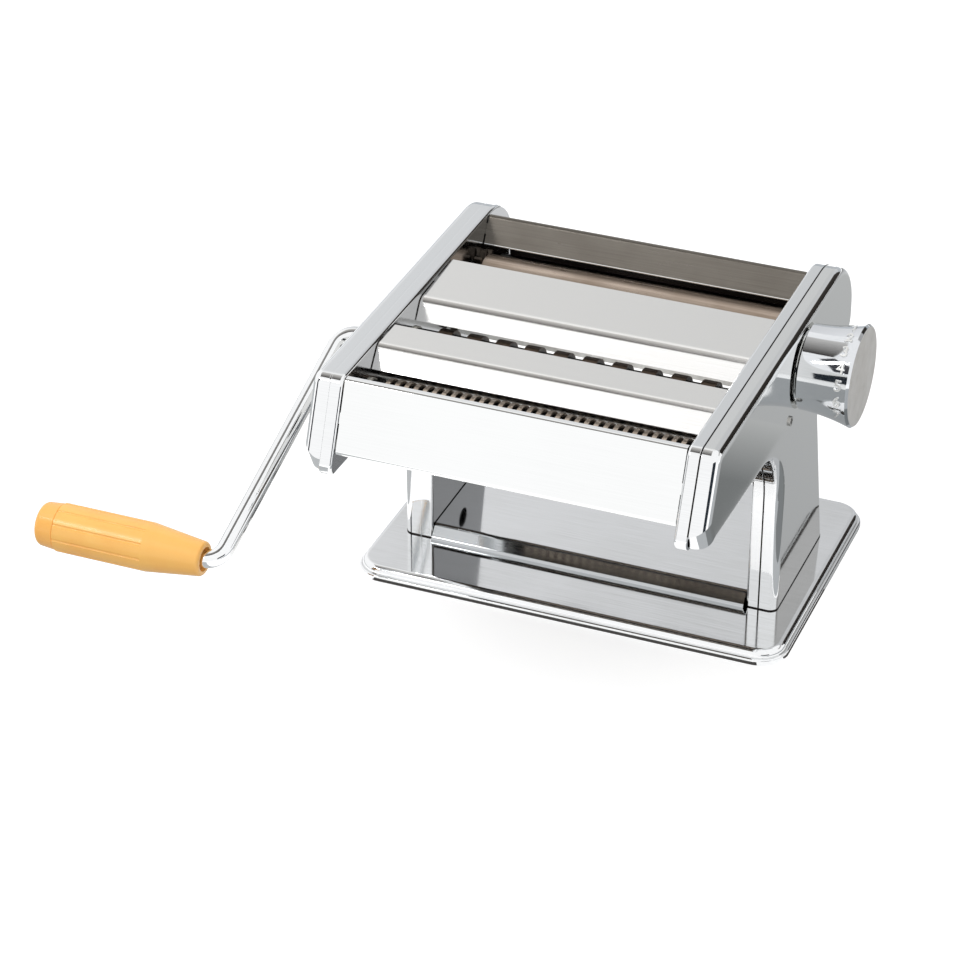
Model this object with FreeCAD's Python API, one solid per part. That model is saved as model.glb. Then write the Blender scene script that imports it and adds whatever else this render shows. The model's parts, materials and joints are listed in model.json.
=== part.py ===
import FreeCAD, Part
import math
import os

# Pasta roller machine, millimetres. X runs along the rollers with the crank at -X and the knob at +X,
# -Y is the front where the noodles come out, and Z is up. The origin is the centre of the resting plane.

Vec = FreeCAD.Vector
X_AXIS = Vec(1, 0, 0)
Z_AXIS = Vec(0, 0, 1)

# Base and bridge
base_side_margin = 13.1
base_depth = 142.0
base_corner_radius = 14.0
base_height = 7.0
base_rim_z = 0.6
base_step_z = 3.4
base_step_inset = 1.4
base_lower_round = 1.0
base_upper_round = 3.2
base_wall = 1.3
base_hollow_inset = 4.6
foot_radius = 6.5
foot_inset = 13.0
bridge_rise = 7.0
bridge_sheet = 1.2
bridge_front_overhang = 3.0
bridge_rear_overhang = 3.0
bridge_slope = 5.4
bridge_bend = 1.6
sheet_end_gap = 0.4

# Sides: each one is an inner frame and an outer cover, both drawn as pans that meet at a seam
frame_depth = 6.0
cover_depth = 8.4
frame_web = 1.6
frame_wall = 1.4
frame_edge_round = 1.5
seam_round = 0.5
cover_wall = 1.5
cover_edge_round = 4.0
top_z = 146.5
nose_margin = 7.05
nose_lean_deg = 22.0
nose_height = 42.0
arch_front_drop = 46.0
arch_rear_drop = 46.5
rear_margin = 48.3
leg_front_y = -36.0
leg_rear_y = 38.0
leg_rear_taper = 23.0
nose_top_round = 6.0
nose_tip_round = 4.5
front_arch_radius = 35.0
rear_arch_radius = 14.0
rear_bottom_round = 12.0
rear_top_round = 30.0
prow_rise = 8.5
prow_lean_deg = 27.0
leg_pad_height = 6.0
leg_hole_y = 2.0
leg_hole_z = 31.6
leg_hole_radius = 5.0

# Smooth rollers and their adjuster
roller_length = 146.0
smooth_radius = 13.5
knob_axis_y = -9.0
knob_axis_drop = 23.3
pair_tilt_deg = 10.8
thin_gap = 0.5
eccentricity = 1.45
knob_step_deg = 20.0
knob_positions = 7
running_fit = 0.05
axial_play = 0.2
journal_radius = 6.0
shoulder_radius = 9.0
eccentric_journal_radius = 5.0
eccentric_radius = 7.5
floating_bush_wall = 1.5
floating_bush_length = 20.0
tube_shoulder_wall = 1.35

# Cutter pairs
cutter_axis_drop = 24.5
wide_nip_distance = 57.0
nip_spacing = 50.5
cutter_radius = 10.75
groove_depth = 2.0
cutter_tip_clearance = 0.4
wide_pitch = 13.8
narrow_pitch = 4.4
ring_side_clearance = 0.15

# Bushes and gears
bush_wall = 1.75
bush_flange = 1.0
bush_flange_rim = 1.7
bush_overhang = 0.9
gear_teeth = 12
smooth_gear_width = 3.4
smooth_gear_side_gap = 0.4
smooth_gear_addendum = 1.85
smooth_gear_root_clearance = 0.45
smooth_tooth_root = 3.6
smooth_tooth_tip = 1.5
cutter_gear_width = 5.0
cutter_gear_gap = 0.5
cutter_gear_addendum = 1.3
cutter_gear_root_clearance = 0.4
cutter_tooth_root = 2.9
cutter_tooth_tip = 1.2

# Crank and its sockets
crank_rod_radius = 4.0
socket_fit = 0.05
socket_depth = 13.0
socket_end_gap = 0.7
socket_slot_width = 2.5
socket_slot_depth = 4.0
crank_pin_radius = 1.1
crank_pin_half_length = 5.7
cover_socket_radius = 7.0
crank_tip_clearance = 0.8
crank_reach = 20.5
crank_lean = 15.0
crank_throw = 123.9
crank_angle_deg = -148.4
crank_bend_radius = 8.5
grip_start_gap = 6.6
grip_length = 80.9
grip_neck_radius = 7.8
grip_neck_round = 1.6
grip_radius = 11.2
grip_taper_length = 27.0
grip_mouth_radius = 5.6
grip_mouth_depth = 3.5
grip_cap_length = 10.0
grip_cap_step = 0.4
grip_cap_taper = 0.9
grip_cap_round = 2.5
grip_cap_groove = 0.6
grip_bore_fit = 0.1
grip_flutes = 10
grip_flute_radius = 0.8
grip_flute_depth = 0.5
retainer_radius = 6.5
retainer_length = 2.0
retainer_room = 0.6
grip_well_wall = 3.2

# Sheet panels and covers by their outer surfaces, each corner as its distance behind the axis or the rear
# edge that it follows and its drop below the top
panel_sheet = 1.0
panel_recess = 1.4
panel_lip = 3.0
panel_height = 33.0
panel_return = 5.0
panel_bend = 0.8
roller_cover_round = 5.6
cutter_cover_round = 4.0
roller_cover_rear = (-1.5, 2.3)
roller_cover_bend = (8.05, 3.5)
roller_cover_foot = (2.25, 12.2)
cutter_cover_rear = (-2.05, 1.9)
cutter_cover_bend = (10.05, 1.9)
cutter_cover_foot = (2.75, 10.9)
rear_panel_foot = (9.0, 13.3)
rear_panel_top = (16.4, 0.3)
rear_panel_back = (-6.0, 23.5)
rear_panel_end = (-3.5, 42.5)
tab_width = 5.0
tab_fit = 0.15

# Fasteners and ties
screw_radius = 1.5
screw_head_radius = 2.9
screw_head_height = 2.0
thread_clearance = 0.05
rod_radius = 4.0
rod_thread_depth = 9.0
thread_end_gap = 1.0
rear_rod_place = (-16.5, 33.5)
middle_rod_place = (21.05, 18.5)
front_rod_drop = 17.5
post_radius = 3.5
cover_screw_place = (-21.4, 40.2)
cover_screw_head_height = 0.8
cover_screw_head_radius = 2.3
base_screw_inset = 14.0

# Strippers
scraper_gap = 0.5
scraper_sheet = 0.8
scraper_length = 9.0
scraper_arm_gap = 0.8
drive_scraper_deg = 252.0
adjustable_scraper_deg = 292.0
scraper_splay_deg = 24.0
comb_sheet = 1.2
comb_offset = 4.0
comb_reach = 18.5
comb_tab_inset = 1.0
comb_ring_gap = 0.5
comb_groove_gap = 0.4
comb_side_gap = 0.35

# Knob
boss_rise = 0.6
boss_rim = 1.6
boss_slope = 1.0
knob_gap = 0.8
knob_length = 24.6
knob_foot_wall = 3.8
knob_waist_swell = 0.9
knob_waist_share = 0.45
knob_flare = 3.8
knob_rim_length = 1.2
knob_edge = 0.9
knob_well_room = 1.0
knob_ring_well = 2.0
knob_disc_land = 0.2
knob_disc_thickness = 1.4
knob_pull = 4.0
square_side = 7.0
square_fit = 0.1
spring_wire = 0.6
spring_radius = 6.0
spring_turns = 2.5
spring_squeezed_length = 3.2
spring_end_gap = 0.2
knob_washer_radius = 7.5
knob_washer_thickness = 1.0
knob_washer_room = 4.6
ring_thickness = 1.2
ring_outer_radius = 16.0
journal_clearance = 0.1
detent_radius = 12.0
detent_pin_radius = 1.5
detent_slot_clearance = 0.35
detent_scallop = 0.35
detent_entry = 0.8

# How near to a plane an edge has to lie to count as on it
edge_tolerance = 0.01

# Derived places along the rollers
roller_half = roller_length / 2
shoulder_x = roller_half + smooth_gear_side_gap + smooth_gear_width
flange_x = shoulder_x + axial_play
inner_face_x = flange_x + bush_flange
web_x = inner_face_x + frame_web
seam_x = inner_face_x + frame_depth
outer_face_x = seam_x + cover_depth
cover_inside_x = outer_face_x - cover_wall
sheet_half = inner_face_x - sheet_end_gap
bush_end_x = web_x + bush_overhang
gear_start_x = bush_end_x + cutter_gear_gap
gear_end_x = gear_start_x + cutter_gear_width
socket_x = cover_inside_x - socket_end_gap
base_length = 2 * (outer_face_x + base_side_margin)
boss_x = outer_face_x + boss_rise
ring_x = boss_x - ring_thickness
knob_start_x = boss_x + knob_gap
knob_end_x = knob_start_x + knob_length
disc_x = knob_end_x - knob_disc_thickness
washer_x = disc_x - knob_washer_room
hub_start_x = knob_start_x + knob_ring_well
hub_end_x = washer_x - knob_pull - spring_squeezed_length

# Derived places across the rollers
bridge_top_z = base_height + bridge_rise
bridge_front_y = leg_front_y - bridge_front_overhang
bridge_rear_y = leg_rear_y + bridge_rear_overhang
knob_axis_z = top_z - knob_axis_drop
tilt = math.radians(pair_tilt_deg)
pair_y = math.cos(tilt)
pair_z = -math.sin(tilt)
smooth_distance = 2 * smooth_radius + thin_gap
knob_turn_deg = knob_step_deg * (knob_positions - 1)
eccentric_start = math.radians(90 - knob_turn_deg / 2)
adjust_y = knob_axis_y + eccentricity * math.cos(eccentric_start - tilt)
adjust_z = knob_axis_z + eccentricity * math.sin(eccentric_start - tilt)
drive_y = adjust_y + smooth_distance * pair_y
drive_z = adjust_z + smooth_distance * pair_z
rear_y = drive_y + rear_margin
cutter_axis_z = top_z - cutter_axis_drop
groove_radius = cutter_radius - groove_depth
cutter_distance = cutter_radius + groove_radius + cutter_tip_clearance
wide_nip_y = knob_axis_y - wide_nip_distance
narrow_nip_y = wide_nip_y - nip_spacing
wide_rear_y = wide_nip_y + cutter_distance / 2
wide_front_y = wide_nip_y - cutter_distance / 2
narrow_rear_y = narrow_nip_y + cutter_distance / 2
narrow_front_y = narrow_nip_y - cutter_distance / 2
nose_slope = math.tan(math.radians(nose_lean_deg))
nose_top_y = narrow_front_y - nose_margin
nose_tip_y = nose_top_y - nose_slope * nose_height
arch_rear_y = leg_rear_y - leg_rear_taper
comb_bottom_z = cutter_axis_z - comb_reach

# Derived radii and the crank's places
bush_radius = journal_radius + running_fit + bush_wall
smooth_gear_tip_radius = smooth_distance / 2 + smooth_gear_addendum
floating_bore = eccentric_radius + running_fit
floating_radius = floating_bore + floating_bush_wall
tube_bore = floating_radius + running_fit
tube_shoulder = tube_bore + tube_shoulder_wall
thread_bore = screw_radius + thread_clearance
boss_radius = ring_outer_radius + boss_rim
knob_foot_radius = ring_outer_radius + knob_foot_wall
knob_rim_radius = knob_foot_radius + knob_flare
knob_disc_radius = knob_rim_radius - knob_edge - knob_disc_land
knob_well_radius = detent_radius + detent_pin_radius + knob_well_room
crank_turn = math.radians(crank_angle_deg)
crank_elbow_x = -outer_face_x - crank_reach
crank_tip_x = socket_depth - socket_x - crank_tip_clearance
grip_y = wide_rear_y + crank_throw * math.cos(crank_turn)
grip_z = cutter_axis_z + crank_throw * math.sin(crank_turn)
grip_start_x = crank_elbow_x - crank_lean - grip_start_gap
grip_end_x = grip_start_x - grip_length
cap_seam_x = grip_end_x + grip_cap_length
well_x = cap_seam_x + retainer_length + 2 * retainer_room
rod_end_x = well_x - retainer_room - retainer_length


def round_corner(before, corner, after, radius):
    """Tangent points and middle point of the arc that rounds one corner of an outline."""
    back = (before - corner).normalize()
    ahead = (after - corner).normalize()
    half = back.getAngle(ahead) / 2
    reach = radius / math.tan(half)
    toward = (back + ahead).normalize()
    middle = corner + toward * (radius / math.sin(half) - radius)
    return corner + back * reach, middle, corner + ahead * reach


def outline(points):
    """Closed outline in the YZ plane from (y, z, radius) corners."""
    corners = [Vec(0, y, z) for y, z, radius in points]
    count = len(points)
    edges = []
    ends = []
    for index, (y, z, radius) in enumerate(points):
        corner = corners[index]
        if radius:
            after = corners[(index + 1) % count]
            start, middle, end = round_corner(corners[index - 1], corner, after, radius)
            edges.append(Part.Arc(start, middle, end).toShape())
            ends.append((start, end))
        else:
            ends.append((corner, corner))
    for index in range(count):
        edges.append(Part.makeLine(ends[index][1], ends[(index + 1) % count][0]))
    return Part.Wire(Part.__sortEdges__(edges))


def prism(wire, x_from, x_to):
    """Solid between two X planes from an outline in the YZ plane."""
    face = Part.Face(wire)
    face.translate(Vec(x_from, 0, 0))
    return face.extrude(Vec(x_to - x_from, 0, 0))


def rod(y, z, radius, x_from, x_to):
    return Part.makeCylinder(radius, x_to - x_from, Vec(x_from, y, z), X_AXIS)


def ring(y, z, outer, inner, x_from, x_to):
    return rod(y, z, outer, x_from, x_to).cut(rod(y, z, inner, x_from, x_to))


def turned(y, z, profile, angle_deg=360):
    """Solid turned about the X line through (y, z) from (x, radius) points, starting on the +Y side."""
    wire = Part.makePolygon([Vec(x, y + radius, z) for x, radius in profile + profile[:1]])
    return Part.Face(wire).revolve(Vec(0, y, z), X_AXIS, angle_deg)


def block(y_from, y_to, z_from, z_to, x_from, x_to):
    return Part.makeBox(x_to - x_from, y_to - y_from, z_to - z_from, Vec(x_from, y_from, z_from))


def both_ends(make):
    """The same piece at the left and at the right, mirrored in X."""
    right = make()
    return Part.makeCompound([right, right.mirror(Vec(0, 0, 0), X_AXIS)])


def fuse(shapes):
    return shapes[0].multiFuse(shapes[1:]).removeSplitter()


def sheet(points, thickness, bend, half_width):
    """Bent sheet: the outer surface follows the points, the thickness lies to their left."""
    path = [Vec(0, y, z) for y, z in points]
    runs = [(b - a).normalize() for a, b in zip(path, path[1:])]
    sides = [Vec(0, -run.z, run.y) for run in runs]
    outer = [(path[0].y, path[0].z, 0)]
    first = path[0] + sides[0] * thickness
    inner = [(first.y, first.z, 0)]
    for corner, side, other in zip(path[1:-1], sides, sides[1:]):
        across = (side + other).normalize()
        shifted = corner + across * (thickness / across.dot(side))
        left_turn = side.cross(other).x > 0
        outer.append((corner.y, corner.z, bend + thickness if left_turn else bend))
        inner.append((shifted.y, shifted.z, bend if left_turn else bend + thickness))
    last = path[-1] + sides[-1] * thickness
    outer.append((path[-1].y, path[-1].z, 0))
    inner.append((last.y, last.z, 0))
    return prism(outline(outer + inner[::-1]), -half_width, half_width)


def tab(start, end, thickness, fit):
    """Tab at each end of a sheet, in the middle of the run from start to end, as one tool per end."""
    low = Vec(0, start[0], start[1])
    high = Vec(0, end[0], end[1])
    run = (high - low).normalize()
    side = Vec(0, -run.z, run.y)
    middle = (low + high) * 0.5
    half = tab_width / 2 + fit
    below = middle - side * fit
    above = middle + side * (thickness + fit)
    corners = [below - run * half, below + run * half, above + run * half, above - run * half]
    wire = Part.makePolygon(corners + corners[:1])
    return both_ends(lambda: prism(wire, sheet_half, web_x))


def gear(y, z, teeth, root, tip, root_width, tip_width, phase, bore, x_from, x_to):
    """Straight-flanked spur gear with its first tooth at the phase angle from +Y towards +Z."""
    root_half = math.asin(root_width / 2 / root)
    tip_half = math.asin(tip_width / 2 / tip)
    points = []
    for tooth in range(teeth):
        middle = phase + 2 * math.pi * tooth / teeth
        for radius, turn in ((root, -root_half), (tip, -tip_half), (tip, tip_half), (root, root_half)):
            points.append(Vec(0, y + radius * math.cos(middle + turn), z + radius * math.sin(middle + turn)))
    return prism(Part.makePolygon(points + points[:1]), x_from, x_to).cut(rod(y, z, bore, x_from, x_to))


def rounded_slab(length, depth, radius, z_from, z_to):
    slab = Part.makeBox(length, depth, z_to - z_from, Vec(-length / 2, -depth / 2, z_from))
    height = z_to - z_from
    upright = [edge for edge in slab.Edges if edge.BoundBox.ZLength > height - edge_tolerance]
    return slab.makeFillet(radius, upright)


def top_edges(shape, z):
    return [edge for edge in shape.Edges if edge.BoundBox.ZMin > z - edge_tolerance]


def screw(at, direction, length):
    """Pan-head screw with the underside of its head at the given point."""
    head = Part.makeCylinder(screw_head_radius, screw_head_height, at, direction * -1)
    return head.fuse(Part.makeCylinder(screw_radius, length, at, direction)).removeSplitter()


def threaded_hole(at, direction, length):
    return Part.makeCylinder(thread_bore, length, at, direction)


def from_top(y, place):
    """Point at a distance behind y and a drop below the top."""
    return y + place[0], top_z - place[1]


# Outline of one side
side_outline = outline([
    (nose_top_y, top_z, nose_top_round),
    (nose_tip_y, top_z - nose_height, nose_tip_round),
    (leg_front_y, top_z - arch_front_drop, front_arch_radius),
    (leg_front_y, base_height, 0),
    (leg_rear_y, base_height, 0),
    (arch_rear_y, top_z - arch_rear_drop, rear_arch_radius),
    (rear_y, top_z - arch_rear_drop, rear_bottom_round),
    (rear_y, top_z, rear_top_round),
])


def inset_outline(wall):
    return Part.Face(side_outline).makeOffset2D(-wall).Wires[0]


# Shafts as (name, y, z, bush bore)
shafts = [
    ("drive_roller", drive_y, drive_z, journal_radius),
    ("adjuster", knob_axis_y, knob_axis_z, eccentric_journal_radius),
    ("wide_rear", wide_rear_y, cutter_axis_z, journal_radius),
    ("wide_front", wide_front_y, cutter_axis_z, journal_radius),
    ("narrow_rear", narrow_rear_y, cutter_axis_z, journal_radius),
    ("narrow_front", narrow_front_y, cutter_axis_z, journal_radius),
]
tie_rods = {
    "rear_tie_rod": from_top(rear_y, rear_rod_place),
    "middle_tie_rod": from_top(wide_rear_y, middle_rod_place),
    "front_tie_rod": ((wide_front_y + narrow_rear_y) / 2, top_z - front_rod_drop),
}
cover_screw_at = from_top(knob_axis_y, cover_screw_place)
base_screw_places = [(sign * (inner_face_x + frame_depth / 2), y) for sign in (-1, 1)
                     for y in (leg_front_y + base_screw_inset, leg_rear_y - base_screw_inset)]


# Stand
def base_plate():
    lower = rounded_slab(base_length, base_depth, base_corner_radius, base_rim_z, base_step_z)
    lower = lower.makeFillet(base_lower_round, top_edges(lower, base_step_z))
    upper = rounded_slab(base_length - 2 * base_step_inset, base_depth - 2 * base_step_inset,
                         base_corner_radius - base_step_inset, base_rim_z, base_height)
    upper = upper.makeFillet(base_upper_round, top_edges(upper, base_height))
    hollow = rounded_slab(base_length - 2 * base_hollow_inset, base_depth - 2 * base_hollow_inset,
                          base_corner_radius - base_hollow_inset, base_rim_z, base_height - base_wall)
    plate = lower.fuse(upper).removeSplitter().cut(hollow)
    for x, y in base_screw_places:
        plate = plate.cut(threaded_hole(Vec(x, y, base_rim_z), Z_AXIS, base_height))
    return plate


def rubber_feet():
    across = base_length / 2 - foot_inset
    along = base_depth / 2 - foot_inset
    height = base_height - base_wall
    return Part.makeCompound([Part.makeCylinder(foot_radius, height, Vec(x, y, 0))
                              for x in (-across, across) for y in (-along, along)])


def bridge_plate():
    points = [(bridge_rear_y, base_height), (bridge_rear_y, bridge_top_z),
              (bridge_front_y + bridge_slope, bridge_top_z),
              (bridge_front_y, bridge_top_z - bridge_slope), (bridge_front_y, base_height)]
    return sheet(points, bridge_sheet, bridge_bend, sheet_half)


def base_screws():
    start = base_height - base_wall
    length = base_wall + leg_pad_height - thread_clearance
    return Part.makeCompound([screw(Vec(x, y, start), Z_AXIS, length) for x, y in base_screw_places])


# Sheet panels between the sides: the corners of each, and the ends of the run that carries its tabs
def panel_points():
    front = nose_top_y + panel_recess
    drop = top_z - panel_sheet
    bottom = top_z - panel_height
    foot = front - nose_slope * (drop - bottom)
    points = [(front + panel_lip, drop), (front, drop), (foot, bottom), (foot + panel_return, bottom)]
    return points, points[1:3]


def roller_cover_points():
    points = [from_top(knob_axis_y, roller_cover_rear), from_top(wide_rear_y, roller_cover_bend),
              from_top(wide_rear_y, roller_cover_foot)]
    return points, points[:2]


def cutter_cover_points():
    points = [from_top(wide_front_y, cutter_cover_rear), from_top(narrow_rear_y, cutter_cover_bend),
              from_top(narrow_rear_y, cutter_cover_foot)]
    return points, points[:2]


def rear_panel_points():
    points = [from_top(rear_y, rear_panel_end), from_top(rear_y, rear_panel_back),
              from_top(drive_y, rear_panel_top), from_top(drive_y, rear_panel_foot)]
    return points, points[2:]


# Sheets as (corners and ends of the tabbed run, thickness, bend radius)
sheets = {
    "front_panel": (panel_points(), panel_sheet, panel_bend),
    "roller_cover": (roller_cover_points(), panel_sheet, roller_cover_round),
    "cutter_cover": (cutter_cover_points(), panel_sheet, cutter_cover_round),
    "rear_panel": (rear_panel_points(), panel_sheet, panel_bend),
}


def blade_points(y, z, angle_deg, splay_deg):
    """Scraper blade from its edge just off a smooth roller, splayed away from the roller's radius."""
    angle = math.radians(angle_deg)
    aim = math.radians(angle_deg + splay_deg)
    reach = smooth_radius + scraper_gap
    edge = (y + reach * math.cos(angle), z + reach * math.sin(angle))
    return [edge, (edge[0] + scraper_length * math.cos(aim), edge[1] + scraper_length * math.sin(aim))]


# Scrapers as the points of the blade
scrapers = {
    "drive_scraper": blade_points(drive_y, drive_z, drive_scraper_deg, scraper_splay_deg),
    "adjustable_scraper": blade_points(adjust_y, adjust_z, adjustable_scraper_deg, -scraper_splay_deg),
}


def away_from_nip(name, points):
    """Points of a scraper in the order that puts its thickness on the side away from the nip."""
    return points if name == "drive_scraper" else points[::-1]


def scraper_arm(edge, foot):
    """The run of a scraper that reaches out to the sides, clear of the gear beside the roller."""
    clear = smooth_gear_tip_radius - smooth_radius + scraper_arm_gap
    share = clear / scraper_length
    return [tuple(a + share * (b - a) for a, b in zip(edge, foot)), foot]


def scraper(name, points):
    blade = sheet(away_from_nip(name, points), scraper_sheet, 0, roller_half)
    run = away_from_nip(name, scraper_arm(*points))
    arms = sheet(run, scraper_sheet, 0, sheet_half)
    return fuse([blade, arms] + tab(*run, scraper_sheet, 0).Solids)


def sheet_part(points, tabbed_run, thickness, bend):
    body = sheet(points, thickness, bend, sheet_half)
    ends = tab(*tabbed_run, thickness, 0)
    return fuse([body] + ends.Solids)


# Combs that strip the cutters: a plate with one finger in each groove
def ring_places(pitch, shifted):
    """Middles of the rings that fit on one cutter, on the pitch or half a pitch off it."""
    offset = pitch / 2 if shifted else 0.0
    count = int(roller_half / pitch) + 1
    places = [offset + pitch * index for index in range(-count, count + 1)]
    return [place for place in places if abs(place) + pitch / 4 <= roller_half]


def below_circle(radius, gap):
    """Height at which the comb's sheet stays the gap below a circle about a cutter's axis."""
    near = comb_offset - comb_sheet / 2
    return cutter_axis_z - math.sqrt(radius ** 2 - near ** 2) - gap


comb_plate_top = below_circle(cutter_radius, comb_ring_gap)
comb_tip_z = below_circle(groove_radius, comb_groove_gap)


def comb_middle(y, in_front):
    """Middle of a comb's sheet, on the side of its cutter's axis that faces the nip."""
    return y + comb_offset if in_front else y - comb_offset


def comb(y, pitch, in_front):
    middle = comb_middle(y, in_front)
    finger = pitch / 2 + 2 * ring_side_clearance - 2 * comb_side_gap
    front = middle - comb_sheet / 2
    rear = middle + comb_sheet / 2
    pieces = [block(front, rear, comb_bottom_z, comb_plate_top, -sheet_half, sheet_half)]
    for place in ring_places(pitch, in_front):
        pieces.append(block(front, rear, comb_bottom_z, comb_tip_z, place - finger / 2, place + finger / 2))
    return fuse(pieces + comb_tabs(middle, 0).Solids)


def comb_tabs(middle, fit):
    half = comb_sheet / 2 + fit
    low = comb_bottom_z + comb_tab_inset - fit
    high = comb_plate_top - comb_tab_inset + fit
    return both_ends(lambda: block(middle - half, middle + half, low, high, sheet_half, web_x))


# Combs as (axis of the cutter, pitch, in front: the rings there stand half a pitch off)
combs = {
    "wide_rear_comb": (wide_rear_y, wide_pitch, False),
    "wide_front_comb": (wide_front_y, wide_pitch, True),
    "narrow_rear_comb": (narrow_rear_y, narrow_pitch, False),
    "narrow_front_comb": (narrow_front_y, narrow_pitch, True),
}


# Sides
def round_rim(pan, x, radius):
    """Round the outline of a pan where it lies on the X plane, but not along its foot."""
    rim = []
    for edge in pan.Edges:
        box = edge.BoundBox
        on_plane = max(abs(box.XMin - x), abs(box.XMax - x)) < edge_tolerance
        if on_plane and box.ZMax > base_height + edge_tolerance:
            rim.append(edge)
    return pan.makeFillet(radius, rim)


def prow(radius):
    """Tool that leaves a rounded prow at the lower end of a cover's nose, as a corner about the seam."""
    reach = 2 * cover_depth
    tool = Part.makeBox(reach, reach, 2 * nose_height, Vec(0, 0, -nose_height))
    tool = tool.cut(Part.makeCylinder(radius, 2 * nose_height, Vec(0, 0, -nose_height)))
    tool.rotate(Vec(0, 0, 0), X_AXIS, 180 + prow_lean_deg)
    lean = math.radians(prow_lean_deg)
    on_nose = math.radians(nose_lean_deg)
    y = nose_tip_y + prow_rise * math.sin(on_nose) + cover_depth * math.cos(lean)
    z = top_z - nose_height + prow_rise * math.cos(on_nose) + cover_depth * math.sin(lean)
    tool.translate(Vec(seam_x, y, z))
    return tool


def inner_frame(sign):
    pan = round_rim(prism(side_outline, inner_face_x, seam_x), inner_face_x, frame_edge_round)
    pan = round_rim(pan, seam_x, seam_round)
    pocket = prism(inset_outline(frame_wall), web_x, seam_x)
    pad = block(leg_front_y, leg_rear_y, base_height, base_height + leg_pad_height, inner_face_x, seam_x)
    frame = pan.cut(pocket).fuse(pad.common(pan)).removeSplitter()
    holes = [rod(leg_hole_y, leg_hole_z, leg_hole_radius, inner_face_x, seam_x)]
    for name, y, z, bore in shafts:
        holes.append(rod(y, z, bush_radius, inner_face_x, seam_x))
    for y, z in list(tie_rods.values()) + [cover_screw_at]:
        holes.append(rod(y, z, thread_bore, inner_face_x, seam_x))
    for (points, tabbed_run), thickness, bend in sheets.values():
        holes += tab(*tabbed_run, thickness, tab_fit).Solids
    for name, points in scrapers.items():
        holes += tab(*away_from_nip(name, scraper_arm(*points)), scraper_sheet, tab_fit).Solids
    for y, pitch, in_front in combs.values():
        holes += comb_tabs(comb_middle(y, in_front), tab_fit).Solids
    for x, y in base_screw_places:
        holes.append(threaded_hole(Vec(x, y, base_height), Z_AXIS, leg_pad_height))
    frame = frame.cut(holes)
    return frame if sign > 0 else frame.mirror(Vec(0, 0, 0), X_AXIS)


def cover_shell():
    pan = round_rim(prism(side_outline, seam_x, outer_face_x), outer_face_x, cover_edge_round)
    pan = round_rim(pan, seam_x, seam_round)
    pocket = prism(inset_outline(cover_wall), seam_x, cover_inside_x)
    pocket = round_rim(pocket, cover_inside_x, cover_edge_round - cover_wall)
    pocket = pocket.cut(prow(cover_depth - cover_wall))
    hole = rod(*cover_screw_at, thread_bore, seam_x, outer_face_x)
    return pan.cut([prow(cover_depth), pocket, hole])


def left_outer_cover():
    shell = cover_shell().mirror(Vec(0, 0, 0), X_AXIS)
    sockets = [rod(y, z, cover_socket_radius, -outer_face_x, -seam_x)
               for name, y, z, bore in shafts if name in ("drive_roller", "wide_rear", "narrow_rear")]
    return shell.cut(sockets)


def right_outer_cover():
    y, z = knob_axis_y, knob_axis_z
    foot = boss_radius + boss_slope
    boss = turned(y, z, [(cover_inside_x, 0), (cover_inside_x, foot), (outer_face_x, foot),
                         (boss_x, boss_radius), (boss_x, 0)])
    seat = rod(y, z, ring_outer_radius, ring_x, boss_x)
    bore = rod(y, z, eccentric_journal_radius + journal_clearance, seam_x, boss_x)
    return cover_shell().fuse(boss).removeSplitter().cut([seat, bore])


def index_ring():
    y, z = knob_axis_y, knob_axis_z
    plate = ring(y, z, ring_outer_radius, eccentric_journal_radius + journal_clearance, ring_x, boss_x)
    half = detent_pin_radius + detent_slot_clearance
    near = detent_radius - half
    far = detent_radius + half
    cuts = [turned(y, z, [(ring_x, near), (ring_x, far), (boss_x, far), (boss_x, near)], knob_turn_deg)]
    for step in range(knob_positions):
        angle = math.radians(knob_step_deg * step)
        notch_y = y + detent_radius * math.cos(angle)
        notch_z = z + detent_radius * math.sin(angle)
        cuts.append(rod(notch_y, notch_z, half + detent_scallop, ring_x, boss_x))
    return plate.cut(cuts)


def cover_posts():
    y, z = cover_screw_at
    return both_ends(lambda: ring(y, z, post_radius, thread_bore, web_x, cover_inside_x))


def cover_screws():
    y, z = cover_screw_at
    head = rod(y, z, cover_screw_head_radius, outer_face_x, outer_face_x + cover_screw_head_height)
    shank = rod(y, z, screw_radius, inner_face_x, outer_face_x)
    return both_ends(lambda: head.fuse(shank).removeSplitter())


# Ties
def tie_rod(y, z):
    body = rod(y, z, rod_radius, -inner_face_x, inner_face_x)
    ends = both_ends(lambda: rod(y, z, thread_bore, inner_face_x - rod_thread_depth, inner_face_x))
    return body.cut(ends.Solids)


def tie_rod_screws():
    length = frame_web + rod_thread_depth - thread_end_gap
    solids = []
    for y, z in tie_rods.values():
        solids += both_ends(lambda: screw(Vec(web_x, y, z), X_AXIS * -1, length)).Solids
    return Part.makeCompound(solids)


# Bearings
def bush(y, z, bore):
    collar = rod(y, z, bush_radius + bush_flange_rim, flange_x, inner_face_x)
    sleeve = rod(y, z, bush_radius, inner_face_x, bush_end_x)
    return collar.fuse(sleeve).removeSplitter().cut(rod(y, z, bore + running_fit, flange_x, bush_end_x))


def bushes(*names):
    solids = []
    for name, y, z, bore in shafts:
        if name in names:
            solids += both_ends(lambda: bush(y, z, bore)).Solids
    return Part.makeCompound(solids)


def with_socket(shape, y, z):
    """Crank socket in the left end of a driven shaft: a round bore with a slot across its mouth."""
    bore = rod(y, z, crank_rod_radius + socket_fit, -socket_x, socket_depth - socket_x)
    half = socket_slot_width / 2
    slot = block(y - journal_radius, y + journal_radius, z - half, z + half,
                 -socket_x, socket_slot_depth - socket_x)
    return shape.cut([bore, slot])


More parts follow.
